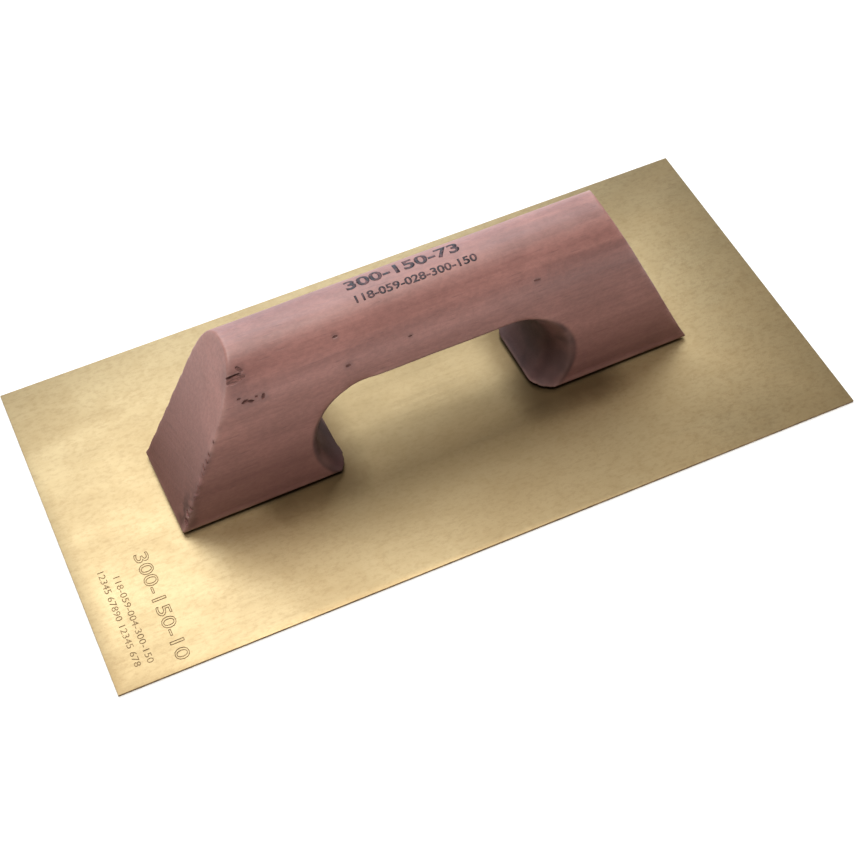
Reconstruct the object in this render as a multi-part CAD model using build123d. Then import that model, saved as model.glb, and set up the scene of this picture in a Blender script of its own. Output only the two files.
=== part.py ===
from build123d import *
import os
from math import sqrt

# Plastering trowel of the non-sparking kind: a thin bronze sheet blade and a one-piece
# wooden bridge handle that stands on it with two feet.
# Millimetres. +X runs along the blade from the heel to the toe, +Y to the back, +Z up.
# The origin is the centre of the blade's working face, which lies on z = 0.

os.makedirs("parts", exist_ok=True)

# blade
BLADE_LENGTH = 300.0
BLADE_WIDTH = 150.0
BLADE_THICKNESS = 1.0

# backing plates, one between the blade and each foot of the handle
PLATE_THICKNESS = 1.5
PLATE_SETBACK = 1.5
PLATE_HALF_WIDTH = 19.7
PLATE_INNER_END = 43.5
PLATE_OUTER_CORNER = 2.0
PLATE_INNER_CORNER = 6.0

# handle
FOOT_LEVEL = BLADE_THICKNESS + PLATE_THICKNESS
HANDLE_HEIGHT = 72.6
HANDLE_ASKEW = 0.6
HANDLE_OFFSET = 1.1
HEEL_TIP_X = -108.1
HEEL_LEAN = 0.476
TOE_TIP_X = 108.3
TOE_LEAN = 0.4235
FOOT_HALF_WIDTH = 21.2
SHOULDER_LEVEL = 49.0
SHOULDER_HALF_WIDTH = 17.0
FRONT_CROWN_PULLS = (12.0, 8.6)
BACK_CROWN_PULLS = (17.0, 7.0)
END_EDGE_ROUND = 0.6

# finger opening: a round-ended slot through the handle, flared towards both flanks
OPENING_LEVEL = 19.8
OPENING_RADIUS = 21.3
OPENING_HEEL_X = -25.8
OPENING_TOE_X = 28.0
RIM_TOE_SHIFT = 7.4
FLARE = 5.2
FLARE_DEPTH = 12.0
FLARE_REACH = 13.5
FLARE_STEPS = (0.0, 0.4, 0.65, 0.82, 0.93, 1.0)
ARC_SPAN = 160.0

# countersunk wood screws, driven from below
SCREW_X = (60.0, 84.0)
SCREW_HEAD_RADIUS = 4.2
SCREW_ROOT_RADIUS = 1.6
SCREW_THREAD_RADIUS = 2.1
SCREW_SHANK_TOP = 5.0
SCREW_LENGTH = 27.0
SCREW_POINT = 4.0
THREAD_PITCH = 1.8
SLOT_WIDTH = 1.2
SLOT_DEPTH = 0.9

FLANK_SLOPE = (FOOT_HALF_WIDTH - SHOULDER_HALF_WIDTH) / (SHOULDER_LEVEL - FOOT_LEVEL)


def screw_profile():
    """Half outline of one screw: flush head, cone, plain shank, ridged thread and point."""
    cone_top = SCREW_HEAD_RADIUS - SCREW_THREAD_RADIUS
    points = [(0, 0), (SCREW_HEAD_RADIUS, 0), (SCREW_THREAD_RADIUS, cone_top)]
    points.append((SCREW_THREAD_RADIUS, SCREW_SHANK_TOP))
    level = SCREW_SHANK_TOP
    while level + THREAD_PITCH < SCREW_LENGTH - SCREW_POINT:
        points.append((SCREW_ROOT_RADIUS, level + 0.35 * THREAD_PITCH))
        points.append((SCREW_ROOT_RADIUS, level + 0.65 * THREAD_PITCH))
        points.append((SCREW_THREAD_RADIUS, level + THREAD_PITCH))
        level += THREAD_PITCH
    points.append((SCREW_ROOT_RADIUS, level + 0.35 * THREAD_PITCH))
    points.append((0, SCREW_LENGTH))
    return points


def screw_envelope(x):
    """The whole screw without its slot: the space it takes in blade, plate and wood."""
    outline = make_face(Polyline(*screw_profile(), close=True))
    return Pos(x, 0, 0) * revolve(Plane.XZ * outline, Axis.Z)


def screw(x):
    """One slotted countersunk screw, its head flush with the working face."""
    slot = Pos(x, 0, SLOT_DEPTH / 2) * Box(3 * SCREW_HEAD_RADIUS, SLOT_WIDTH, SLOT_DEPTH)
    return screw_envelope(x) - slot


def set_on_blade(piece):
    """Moves a piece drawn about the handle's own middle to where the handle stands."""
    return Pos(0, HANDLE_OFFSET, 0) * Rot(0, 0, HANDLE_ASKEW) * piece


def blade():
    """Flat sheet with square corners and four countersunk holes."""
    sheet = Pos(0, 0, BLADE_THICKNESS / 2) * Box(BLADE_LENGTH, BLADE_WIDTH, BLADE_THICKNESS)
    for x in screw_places():
        sheet -= set_on_blade(screw_envelope(x))
    return sheet


def screw_places():
    """X of the four screws, from the heel to the toe."""
    return sorted([-x for x in SCREW_X] + list(SCREW_X))


def backing_plate(side, foot_end):
    """Plate under one foot. side is -1 at the heel and 1 at the toe."""
    outer = side * (abs(foot_end) - PLATE_SETBACK)
    inner = side * PLATE_INNER_END
    length = abs(outer - inner)
    plan = Pos((outer + inner) / 2, 0) * Rectangle(length, 2 * PLATE_HALF_WIDTH)
    corners = plan.vertices().sort_by(Axis.X)
    inner_corners = corners[-2:] if side < 0 else corners[:2]
    plan = fillet(inner_corners, PLATE_INNER_CORNER)
    outer_corners = plan.vertices().sort_by(Axis.X)
    outer_corners = outer_corners[:2] if side < 0 else outer_corners[-2:]
    plan = fillet(outer_corners, PLATE_OUTER_CORNER)
    plate = Pos(0, 0, BLADE_THICKNESS) * extrude(plan, PLATE_THICKNESS)
    for x in SCREW_X:
        plate -= screw_envelope(side * x)
    return plate


def section_half(side, pulls):
    """Half of the handle's cross-section: a tapered flank that runs into the crown."""
    side_pull, top_pull = pulls
    foot = (side * FOOT_HALF_WIDTH, FOOT_LEVEL)
    shoulder = (side * SHOULDER_HALF_WIDTH, SHOULDER_LEVEL)
    above = SHOULDER_HALF_WIDTH - side_pull * FLANK_SLOPE
    leave = (side * above, SHOULDER_LEVEL + side_pull)
    arrive = (side * top_pull, HANDLE_HEIGHT)
    crown = Bezier(shoulder, leave, arrive, (0, HANDLE_HEIGHT))
    base = Line((0, FOOT_LEVEL), foot)
    middle = Line((0, HANDLE_HEIGHT), (0, FOOT_LEVEL))
    return make_face([base, Line(foot, shoulder), crown, middle])


def handle_section():
    """Cross-section in the YZ plane, a little fuller at the back of the crown."""
    halves = section_half(-1, FRONT_CROWN_PULLS) + section_half(1, BACK_CROWN_PULLS)
    return Plane.YZ * halves


def handle_blank():
    """The handle before its opening is cut: the section run between two leaning ends."""
    bar = extrude(handle_section(), BLADE_LENGTH / 2, both=True)
    top = HANDLE_HEIGHT + 1
    heel_foot = (HEEL_TIP_X + HEEL_LEAN * FOOT_LEVEL, FOOT_LEVEL)
    heel_top = (HEEL_TIP_X + HEEL_LEAN * top, top)
    toe_top = (TOE_TIP_X - TOE_LEAN * top, top)
    toe_foot = (TOE_TIP_X - TOE_LEAN * FOOT_LEVEL, FOOT_LEVEL)
    side_view = make_face(Polyline(heel_foot, heel_top, toe_top, toe_foot, close=True))
    blank = bar & extrude(Plane.XZ * side_view, FOOT_HALF_WIDTH + 5, both=True)
    ends = blank.faces().filter_by(lambda f: abs(f.normal_at().X) > 0.5)
    return fillet([e for f in ends for e in f.edges()], END_EDGE_ROUND)


def opening_outline(growth):
    """Round-ended slot about the opening's level, grown all round and left open-ended below."""
    radius = OPENING_RADIUS + growth
    toe_x = OPENING_TOE_X + RIM_TOE_SHIFT * growth / FLARE
    heel_end = CenterArc((OPENING_HEEL_X, 0), radius, 90, ARC_SPAN)
    toe_end = CenterArc((toe_x, 0), radius, 90 - ARC_SPAN, ARC_SPAN)
    roof = Line(heel_end @ 0, toe_end @ 1)
    base = Line(heel_end @ 1, toe_end @ 0)
    return make_face([heel_end, base, toe_end, roof])


def flare(side):
    """Cutter for the round-over at one flank. Its sections lie parallel to that flank."""
    outward = Vector(0, side, FLANK_SLOPE).normalized()
    flank_y = FOOT_HALF_WIDTH - FLANK_SLOPE * (OPENING_LEVEL - FOOT_LEVEL)
    rim_middle = Vector(0, side * flank_y, OPENING_LEVEL)
    sections = []
    for step in FLARE_STEPS:
        depth = FLARE_DEPTH - FLARE_REACH * step
        growth = FLARE * (1 - sqrt(1 - step * step))
        plane = Plane(rim_middle - outward * depth, x_dir=(1, 0, 0), z_dir=outward * -side)
        sections.append(plane * opening_outline(growth))
    return loft(sections)


def handle():
    """One-piece wooden bridge handle with the finger opening and the screw holes."""
    wood = handle_blank()
    mouth = Plane.XZ * Pos(0, OPENING_LEVEL) * opening_outline(0)
    wood -= extrude(mouth, FOOT_HALF_WIDTH, both=True)
    for side in (-1, 1):
        wood -= flare(side)
    for x in screw_places():
        wood -= screw_envelope(x)
    return wood


heel_foot_end = HEEL_TIP_X + HEEL_LEAN * FOOT_LEVEL
toe_foot_end = TOE_TIP_X - TOE_LEAN * FOOT_LEVEL

export_step(blade(), "parts/blade.step")
export_step(set_on_blade(backing_plate(-1, heel_foot_end)), "parts/heel_backing_plate.step")
export_step(set_on_blade(backing_plate(1, toe_foot_end)), "parts/toe_backing_plate.step")
export_step(set_on_blade(handle()), "parts/handle.step")
screw_names = ("heel_outer_screw", "heel_inner_screw", "toe_inner_screw", "toe_outer_screw")
for name, place in zip(screw_names, screw_places()):
    export_step(set_on_blade(screw(place)), f"parts/{name}.step")
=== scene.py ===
"""Plastering trowel: bronze sheet blade, wooden bridge handle, packing plates and screws.

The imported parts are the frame. The blade and the handle are modelled again in full detail,
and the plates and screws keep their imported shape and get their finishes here.
Lengths are in metres. +X runs from the heel to the toe, +Y to the back and +Z up.
"""

import logging
import math
import random
from contextlib import contextmanager
from dataclasses import dataclass
from enum import Enum
from itertools import chain
from typing import Callable, Iterable, Iterator

import bmesh
import bpy
import numpy as np
from mathutils import Matrix, Vector


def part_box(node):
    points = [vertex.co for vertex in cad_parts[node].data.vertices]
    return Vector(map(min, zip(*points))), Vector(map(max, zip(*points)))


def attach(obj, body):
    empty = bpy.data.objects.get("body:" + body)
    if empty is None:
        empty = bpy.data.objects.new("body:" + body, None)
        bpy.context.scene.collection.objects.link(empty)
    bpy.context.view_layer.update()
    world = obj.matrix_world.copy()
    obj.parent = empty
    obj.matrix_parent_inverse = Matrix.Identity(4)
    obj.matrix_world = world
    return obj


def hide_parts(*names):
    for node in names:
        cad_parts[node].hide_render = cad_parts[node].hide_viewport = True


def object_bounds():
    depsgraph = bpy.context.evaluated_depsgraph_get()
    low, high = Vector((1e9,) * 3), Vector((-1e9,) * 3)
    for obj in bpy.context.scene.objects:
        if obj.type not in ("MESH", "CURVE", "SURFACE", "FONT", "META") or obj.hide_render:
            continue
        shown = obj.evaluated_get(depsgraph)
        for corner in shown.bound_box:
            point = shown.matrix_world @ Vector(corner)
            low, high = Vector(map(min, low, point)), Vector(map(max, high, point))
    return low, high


LOG = logging.getLogger("plastering_trowel")
MM = 0.001
BODY = "root"

Piece = bpy.types.Object
Material = bpy.types.Material
Socket = bpy.types.NodeSocket
Colour = tuple[float, float, float, float]

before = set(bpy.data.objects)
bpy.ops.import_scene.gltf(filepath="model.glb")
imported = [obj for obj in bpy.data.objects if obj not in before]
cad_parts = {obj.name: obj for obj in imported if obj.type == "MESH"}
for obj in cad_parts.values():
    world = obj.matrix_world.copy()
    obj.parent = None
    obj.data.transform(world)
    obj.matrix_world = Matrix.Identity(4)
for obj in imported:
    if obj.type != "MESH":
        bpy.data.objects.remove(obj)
cad_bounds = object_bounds()


class Flank(Enum):
    """The two long sides of the handle, by the sign of Y."""

    FRONT = -1
    BACK = 1


class End(Enum):
    """The two ends of the tool, by the sign of X."""

    HEEL = -1
    TOE = 1


class Pick(Enum):
    """What a selection in edit mode is made of."""

    VERTS = "VERT"
    EDGES = "EDGE"
    FACES = "FACE"


# ---------------------------------------------------------------------------
# Bench work: primitives, selections, operators
# ---------------------------------------------------------------------------


def clear_selection() -> None:
    """Leaves object mode and deselects everything."""
    if bpy.context.object is not None and bpy.context.object.mode != "OBJECT":
        bpy.ops.object.mode_set(mode="OBJECT")
    bpy.ops.object.select_all(action="DESELECT")


def take_up(piece: Piece) -> None:
    """Makes a piece the only selected and the active object.

    Args:
        piece: the object to work on.
    """
    clear_selection()
    piece.select_set(True)
    bpy.context.view_layer.objects.active = piece


@contextmanager
def editing(piece: Piece) -> Iterator[None]:
    """Keeps one piece in edit mode for as long as the block runs.

    Args:
        piece: the object to edit.
    """
    take_up(piece)
    bpy.ops.object.mode_set(mode="EDIT")
    yield
    bpy.ops.object.mode_set(mode="OBJECT")


def freeze_place(piece: Piece) -> None:
    """Moves the object's place, turn and size into its mesh.

    Args:
        piece: the object to settle at the origin.
    """
    take_up(piece)
    bpy.ops.object.transform_apply(location=True, rotation=True, scale=True)


def add_block(name: str, low: Vector, high: Vector) -> Piece:
    """Adds a cuboid between two corners.

    Args:
        name: the object's name.
        low: lowest corner.
        high: highest corner.

    Returns:
        The new object, its place in its mesh.
    """
    clear_selection()
    bpy.ops.mesh.primitive_cube_add(size=1, location=(low + high) / 2)
    block = bpy.context.object
    block.name = name
    block.scale = high - low
    freeze_place(block)
    return block


def add_rod(name: str, centre: Vector, radius: float, length: float, turn: Vector, sides: int) -> Piece:
    """Adds a round bar.

    Args:
        name: the object's name.
        centre: middle of the bar.
        radius: its radius.
        length: its length.
        turn: Euler angles in radians; with none the bar stands along Z.
        sides: how many sides stand for the circle.

    Returns:
        The new object, its place in its mesh.
    """
    clear_selection()
    bpy.ops.mesh.primitive_cylinder_add(
        vertices=sides, radius=radius, depth=length, location=centre, rotation=turn
    )
    rod = bpy.context.object
    rod.name = name
    freeze_place(rod)
    return rod


def pick(piece: Piece, kind: Pick, test: Callable[[object], bool]) -> int:
    """Selects the elements of the piece in edit mode that pass a test.

    Args:
        piece: the object being edited.
        kind: whether the test reads vertices, edges or faces.
        test: says whether one element is selected.

    Returns:
        How many elements were selected.
    """
    bpy.ops.mesh.select_mode(type=kind.value)
    bpy.ops.mesh.select_all(action="DESELECT")
    mesh = bmesh.from_edit_mesh(piece.data)
    mesh.normal_update()
    elements = {Pick.VERTS: mesh.verts, Pick.EDGES: mesh.edges, Pick.FACES: mesh.faces}[kind]
    count = 0
    for element in elements:
        if test(element):
            element.select = True
            count += 1
    mesh.select_flush_mode()
    bmesh.update_edit_mesh(piece.data)
    return count


def edge_middle(edge: bmesh.types.BMEdge) -> Vector:
    """Middle point of an edge."""
    return (edge.verts[0].co + edge.verts[1].co) / 2


def use_modifier(piece: Piece, kind: str, **settings: object) -> None:
    """Adds a modifier, sets it and applies it at once.

    Args:
        piece: the object it works on.
        kind: Blender's name for the modifier.
        **settings: values of the modifier's own properties.
    """
    take_up(piece)
    modifier = piece.modifiers.new(kind.title(), kind)
    for key, value in settings.items():
        setattr(modifier, key, value)
    bpy.ops.object.modifier_apply(modifier=modifier.name)


def cut_away(piece: Piece, cutter: Piece) -> None:
    """Takes the cutter's shape out of the piece and throws the cutter away.

    Args:
        piece: the object that is cut.
        cutter: the closed shape taken out of it.
    """
    use_modifier(piece, "BOOLEAN", operation="DIFFERENCE", solver="EXACT", object=cutter)
    bpy.data.objects.remove(cutter, do_unlink=True)


def add_slots(piece: Piece, count: int) -> None:
    """Gives a piece empty material slots.

    Args:
        piece: a mesh object.
        count: how many slots.
    """
    for _ in range(count):
        piece.data.materials.append(None)


def cloud_texture(name: str, size: float, hard: bool = False) -> bpy.types.Texture:
    """A cloud texture for the Displace modifier.

    Args:
        name: the texture's name.
        size: size of its lumps in metres.
        hard: whether its lumps have sharp valleys.

    Returns:
        The texture.
    """
    clouds = bpy.data.textures.new(name, "CLOUDS")
    clouds.noise_scale = size
    clouds.noise_depth = 2
    clouds.noise_type = "HARD_NOISE" if hard else "SOFT_NOISE"
    return clouds


def vertex_places(piece: Piece) -> np.ndarray:
    """The vertices' places as an array of rows.

    Args:
        piece: a mesh object.

    Returns:
        One row of x, y, z for each vertex.
    """
    flat = np.zeros(len(piece.data.vertices) * 3)
    piece.data.vertices.foreach_get("co", flat)
    return flat.reshape(-1, 3)


def weight_group(piece: Piece, name: str, weights: np.ndarray) -> str:
    """Makes a vertex group from one weight for each vertex.

    Args:
        piece: a mesh object.
        name: the group's name.
        weights: values from 0 to 1, one for each vertex.

    Returns:
        The group's name.
    """
    steps = 50
    group = piece.vertex_groups.new(name=name)
    levels = np.round(np.clip(weights, 0, 1) * steps).astype(int)
    for level in np.unique(levels):
        if level > 0:
            members = np.nonzero(levels == level)[0].tolist()
            group.add(members, level / steps, "REPLACE")
    return name


def screw_boxes() -> Iterator[tuple[End, Vector, Vector]]:
    """The four screws in the frame.

    Yields:
        The end of the tool that a screw is at, and the two corners of its box.
    """
    for end in End:
        for name in ("inner", "outer"):
            low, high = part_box(f"{end.name.lower()}_{name}_screw")
            yield end, low, high


def store_edge_wear(piece: Piece, full: float, spread: int) -> None:
    """Writes how strongly each vertex stands out from its neighbours as the attribute edge_wear.

    Args:
        piece: a mesh object with even faces.
        full: how far a vertex stands out where wear is complete, in metres.
        spread: how many times the result is averaged with its neighbours.
    """
    mesh = piece.data
    places = vertex_places(piece)
    normals = np.zeros(len(mesh.vertices) * 3)
    mesh.vertex_normals.foreach_get("vector", normals)
    normals = normals.reshape(-1, 3)
    ends = np.zeros(len(mesh.edges) * 2, dtype=np.int64)
    mesh.edges.foreach_get("vertices", ends)
    ends = ends.reshape(-1, 2)
    both = np.concatenate([ends, ends[:, ::-1]])
    count = np.maximum(np.bincount(both[:, 0], minlength=len(places)), 1)

    def around(values: np.ndarray) -> np.ndarray:
        """Mean of each vertex's neighbours."""
        return np.bincount(both[:, 0], weights=values[both[:, 1]], minlength=len(places)) / count

    middle = np.stack([around(places[:, axis]) for axis in range(3)], axis=1)
    wear = np.clip(((places - middle) * normals).sum(axis=1) / full, 0, 1)
    for _ in range(spread):
        wear = np.maximum(wear, around(wear))
    for _ in range(2):
        wear = around(wear)
    attribute = mesh.attributes.new("edge_wear", "FLOAT", "POINT")
    attribute.data.foreach_set("value", wear.astype(np.float32))


# ---------------------------------------------------------------------------
# Shader building
# ---------------------------------------------------------------------------


class Graph:
    """A node tree with short calls for adding and joining its nodes."""

    def __init__(self, tree: bpy.types.NodeTree) -> None:
        """Wraps a tree.

        Args:
            tree: the material's, world's or group's node tree.
        """
        self.tree = tree

    def node(self, kind: str, **settings: object) -> bpy.types.Node:
        """Adds a node and sets its properties.

        Args:
            kind: the node type without its ShaderNode prefix.
            **settings: values of the node's own properties.

        Returns:
            The node.
        """
        made = self.tree.nodes.new("ShaderNode" + kind)
        for key, value in settings.items():
            setattr(made, key, value)
        return made

    def feed(self, socket: Socket, value: object) -> None:
        """Joins an output to a socket, or sets the socket's value.

        Args:
            socket: the input.
            value: an output socket, a number, or a row of numbers.
        """
        if isinstance(value, Socket):
            self.tree.links.new(value, socket)
        else:
            socket.default_value = value

    def maths(self, operation: str, *values: object) -> Socket:
        """Adds a Math node.

        Args:
            operation: Blender's name for the operation.
            *values: its inputs in order.

        Returns:
            The result.
        """
        made = self.node("Math", operation=operation)
        for socket, value in zip(made.inputs, values):
            self.feed(socket, value)
        return made.outputs[0]

    def times(self, first: Socket, second: object) -> Socket:
        """The product of two values."""
        return self.maths("MULTIPLY", first, second)

    def beyond(self, value: Socket, limit: float) -> Socket:
        """How far a value lies beyond a limit, and 0 within it."""
        return self.maths("MAXIMUM", self.maths("SUBTRACT", value, limit), 0.0)

    def reach(self, along: Socket, across: Socket) -> Socket:
        """The length of a step that goes so far along and so far across."""
        squares = self.maths("ADD", self.maths("POWER", along, 2.0), self.maths("POWER", across, 2.0))
        return self.maths("SQRT", squares)

    def parts(self, vector: Socket) -> tuple[Socket, ...]:
        """The X, Y and Z of a vector."""
        split = self.node("SeparateXYZ")
        self.feed(split.inputs[0], vector)
        return tuple(split.outputs)

    def stretch(self, vector: Socket, scale: Iterable[float], shift: Iterable[float] = (0, 0, 0),
                turn: Iterable[float] = (0, 0, 0)) -> Socket:
        """Adds a Mapping node.

        Args:
            vector: the coordinates.
            scale: factor along each axis.
            shift: what is added once they are scaled.
            turn: Euler angles in radians; the coordinates are scaled before they turn.

        Returns:
            The mapped coordinates.
        """
        made = self.node("Mapping")
        self.feed(made.inputs["Vector"], vector)
        made.inputs["Location"].default_value = tuple(shift)
        made.inputs["Rotation"].default_value = tuple(turn)
        made.inputs["Scale"].default_value = tuple(scale)
        return made.outputs[0]

    def noise(self, vector: Socket, scale: float, detail: float = 2.0, roughness: float = 0.5,
              distortion: float = 0.0) -> Socket:
        """Adds a Noise Texture and returns its value.

        Args:
            vector: the coordinates.
            scale: how fine the pattern is.
            detail: how many finer layers it has.
            roughness: how strong the finer layers are.
            distortion: how much it is warped.

        Returns:
            The pattern, from 0 to 1.
        """
        made = self.node("TexNoise")
        self.feed(made.inputs["Vector"], vector)
        made.inputs["Scale"].default_value = scale
        made.inputs["Detail"].default_value = detail
        made.inputs["Roughness"].default_value = roughness
        made.inputs["Distortion"].default_value = distortion
        return made.outputs["Fac"]

    def grain(self, place: Socket, scale: Iterable[float], detail: float = 2.0,
              roughness: float = 0.5) -> Socket:
        """A noise that is finer along some axes than along others.

        Args:
            place: the coordinates.
            scale: how fine the pattern is along each axis.
            detail: how many finer layers it has.
            roughness: how strong the finer layers are.

        Returns:
            The pattern, from 0 to 1.
        """
        return self.noise(self.stretch(place, scale), 1.0, detail, roughness)

    def span(self, value: Socket, low: float, high: float, to_low: float = 0.0,
             to_high: float = 1.0) -> Socket:
        """Maps a range of values onto another, smoothly and within its ends.

        Args:
            value: the input.
            low: start of the range.
            high: end of the range.
            to_low: result at the start.
            to_high: result at the end.

        Returns:
            The mapped value.
        """
        made = self.node("MapRange", interpolation_type="SMOOTHSTEP", clamp=True)
        for socket, number in zip(made.inputs, (value, low, high, to_low, to_high)):
            self.feed(socket, number)
        return made.outputs[0]

    def blend(self, share: object, first: object, second: object, mode: str = "MIX") -> Socket:
        """Adds a colour Mix node.

        Args:
            share: how much of the second colour.
            first: a colour or an output.
            second: a colour or an output.
            mode: Blender's blend mode.

        Returns:
            The mixed colour.
        """
        made = self.node("Mix", data_type="RGBA", blend_type=mode, clamp_factor=True)
        self.feed(made.inputs[0], share)
        self.feed(made.inputs[6], first)
        self.feed(made.inputs[7], second)
        return made.outputs[2]

    def shade(self, colour: Socket, value: Socket) -> Socket:
        """Darkens or lightens a colour.

        Args:
            colour: the colour.
            value: the factor.

        Returns:
            The colour times the factor.
        """
        grey = self.node("CombineColor")
        for socket in grey.inputs:
            self.feed(socket, value)
        return self.blend(1.0, colour, grey.outputs[0], "MULTIPLY")

    def bump(self, height: Socket, strength: float, distance: float,
             normal: Socket | None = None) -> Socket:
        """Adds a Bump node.

        Args:
            height: the relief, from 0 to 1.
            strength: how much of it is used.
            distance: height of the relief in metres.
            normal: a normal that it adds to.

        Returns:
            The new normal.
        """
        made = self.node("Bump")
        made.inputs["Strength"].default_value = strength
        made.inputs["Distance"].default_value = distance
        self.feed(made.inputs["Height"], height)
        if normal is not None:
            self.feed(made.inputs["Normal"], normal)
        return made.outputs[0]


class EffectGroup:
    """A shared surface effect, kept as one node group."""

    title = "effect"
    sizes: dict[str, float] = {}
    results: tuple[str, ...] = ()

    def __init__(self) -> None:
        """Makes the group's sockets and draws its nodes."""
        self.tree = bpy.data.node_groups.new(self.title, "ShaderNodeTree")
        face = self.tree.interface
        face.new_socket(name="Vector", in_out="INPUT", socket_type="NodeSocketVector")
        for name, value in self.sizes.items():
            socket = face.new_socket(name=name, in_out="INPUT", socket_type="NodeSocketFloat")
            socket.default_value = value
        for name in self.results:
            face.new_socket(name=name, in_out="OUTPUT", socket_type="NodeSocketFloat")
        self.graph = Graph(self.tree)
        self.entry = self.tree.nodes.new("NodeGroupInput")
        self.exit = self.tree.nodes.new("NodeGroupOutput")
        self.draw()

    def draw(self) -> None:
        """Fills the group; each effect has its own."""
        raise NotImplementedError

    def place(self, graph: Graph, vector: Socket, **sizes: float) -> bpy.types.Node:
        """Puts the group into a material.

        Args:
            graph: the material's graph.
            vector: coordinates in metres.
            **sizes: this material's own values of the group's inputs.

        Returns:
            The group node.
        """
        made = graph.node("Group")
        made.node_tree = self.tree
        graph.feed(made.inputs["Vector"], vector)
        for name, value in sizes.items():
            graph.feed(made.inputs[name], value)
        return made


class FibreEffect(EffectGroup):
    """Fine lines along X: the fibres of wood, or the rolling lines of sheet metal."""

    title = "fibres"
    sizes = {"Length": 0.02, "Width": 0.0005}
    results = ("Lines", "Flecks")

    def draw(self) -> None:
        """Two noises stretched along X: even lines, and sparse short flecks."""
        graph, entry = self.graph, self.entry
        along = graph.maths("DIVIDE", 1.0, entry.outputs["Length"])
        across = graph.maths("DIVIDE", 1.0, entry.outputs["Width"])
        scale = graph.node("CombineXYZ")
        for socket, value in zip(scale.inputs, (along, across, across)):
            graph.feed(socket, value)
        stretched = graph.node("VectorMath", operation="MULTIPLY")
        graph.feed(stretched.inputs[0], entry.outputs["Vector"])
        graph.feed(stretched.inputs[1], scale.outputs[0])
        lines = graph.noise(stretched.outputs[0], 1.0, detail=4.0, roughness=0.6)
        coarse = graph.noise(stretched.outputs[0], 0.55, detail=1.0)
        flecks = graph.span(coarse, 0.66, 0.78)
        graph.feed(self.exit.inputs["Lines"], lines)
        graph.feed(self.exit.inputs["Flecks"], flecks)


class MottleEffect(EffectGroup):
    """Soft uneven patches: uneven stain, tarnish, handling marks."""

    title = "mottle"
    sizes = {"Patch": 0.02}
    results = ("Patches", "Specks")

    def draw(self) -> None:
        """A broad noise warped by itself, and rare fine specks."""
        graph, entry = self.graph, self.entry
        inverse = graph.maths("DIVIDE", 1.0, entry.outputs["Patch"])
        scaled = graph.node("VectorMath", operation="SCALE")
        graph.feed(scaled.inputs[0], entry.outputs["Vector"])
        graph.feed(scaled.inputs["Scale"], inverse)
        patches = graph.noise(scaled.outputs[0], 1.0, detail=3.0, roughness=0.55, distortion=0.6)
        fine = graph.noise(scaled.outputs[0], 9.0, detail=2.0, roughness=0.6)
        graph.feed(self.exit.inputs["Patches"], patches)
        graph.feed(self.exit.inputs["Specks"], graph.span(fine, 0.68, 0.8))


@dataclass(frozen=True)
class Effects:
    """The shared node groups, built once."""

    fibres: FibreEffect
    mottle: MottleEffect


def new_material(name: str) -> tuple[Material, Graph, bpy.types.Node]:
    """Makes a material with a Principled BSDF.

    Args:
        name: the material's name.

    Returns:
        The material, its graph and its shader node.
    """
    material = bpy.data.materials.new(name)
    material.use_nodes = True
    shader = next(n for n in material.node_tree.nodes if n.type == "BSDF_PRINCIPLED")
    return material, Graph(material.node_tree), shader


@dataclass(frozen=True)
class Finish:
    """A material. Each finish has a title and draws its own nodes."""

    def make(self, effects: Effects) -> Material:
        """Builds the material.

        Args:
            effects: the shared node groups.

        Returns:
            The material.
        """
        material, graph, shader = new_material(self.title)
        self.draw(graph, shader, graph.node("TexCoord").outputs["Object"], effects)
        return material

    def draw(self, graph: Graph, shader: bpy.types.Node, place: Socket, effects: Effects) -> None:
        """Joins the finish's nodes to the shader.

        Args:
            graph: the material's graph.
            shader: its Principled BSDF.
            place: object coordinates.
            effects: the shared node groups.
        """
        raise NotImplementedError


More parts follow.
